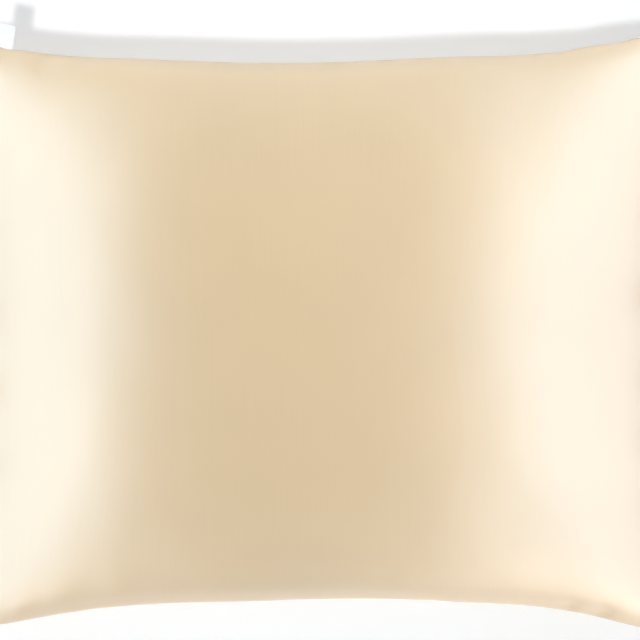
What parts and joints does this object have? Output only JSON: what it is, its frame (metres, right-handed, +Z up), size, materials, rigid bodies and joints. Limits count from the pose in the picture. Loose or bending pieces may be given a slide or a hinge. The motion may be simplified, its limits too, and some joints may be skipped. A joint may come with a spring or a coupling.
{
  "type": "filled satin pillowcase",
  "caption": "Satin pillowcase filled by its bed pillow: domed face, drawn-in sides, soft corner ears, puckered seams and a bare folded label. Lies on its back.",
  "frame": {"origin": "middle of the flat patch of the underside that the pillow rests on", "axes": "+Z up through the crown, +X along the long seams, +Y towards the long seam that holds the label"},
  "size_m": [0.637, 0.5045, 0.1788],
  "materials": {
    "satin": "champagne silk satin with a soft sheen that runs in broad bands",
    "ribbon": "bare white satin ribbon"
  },
  "bodies": {
    "root": {"filled_case": "satin", "label": "ribbon"}
  },
  "joints": []
}
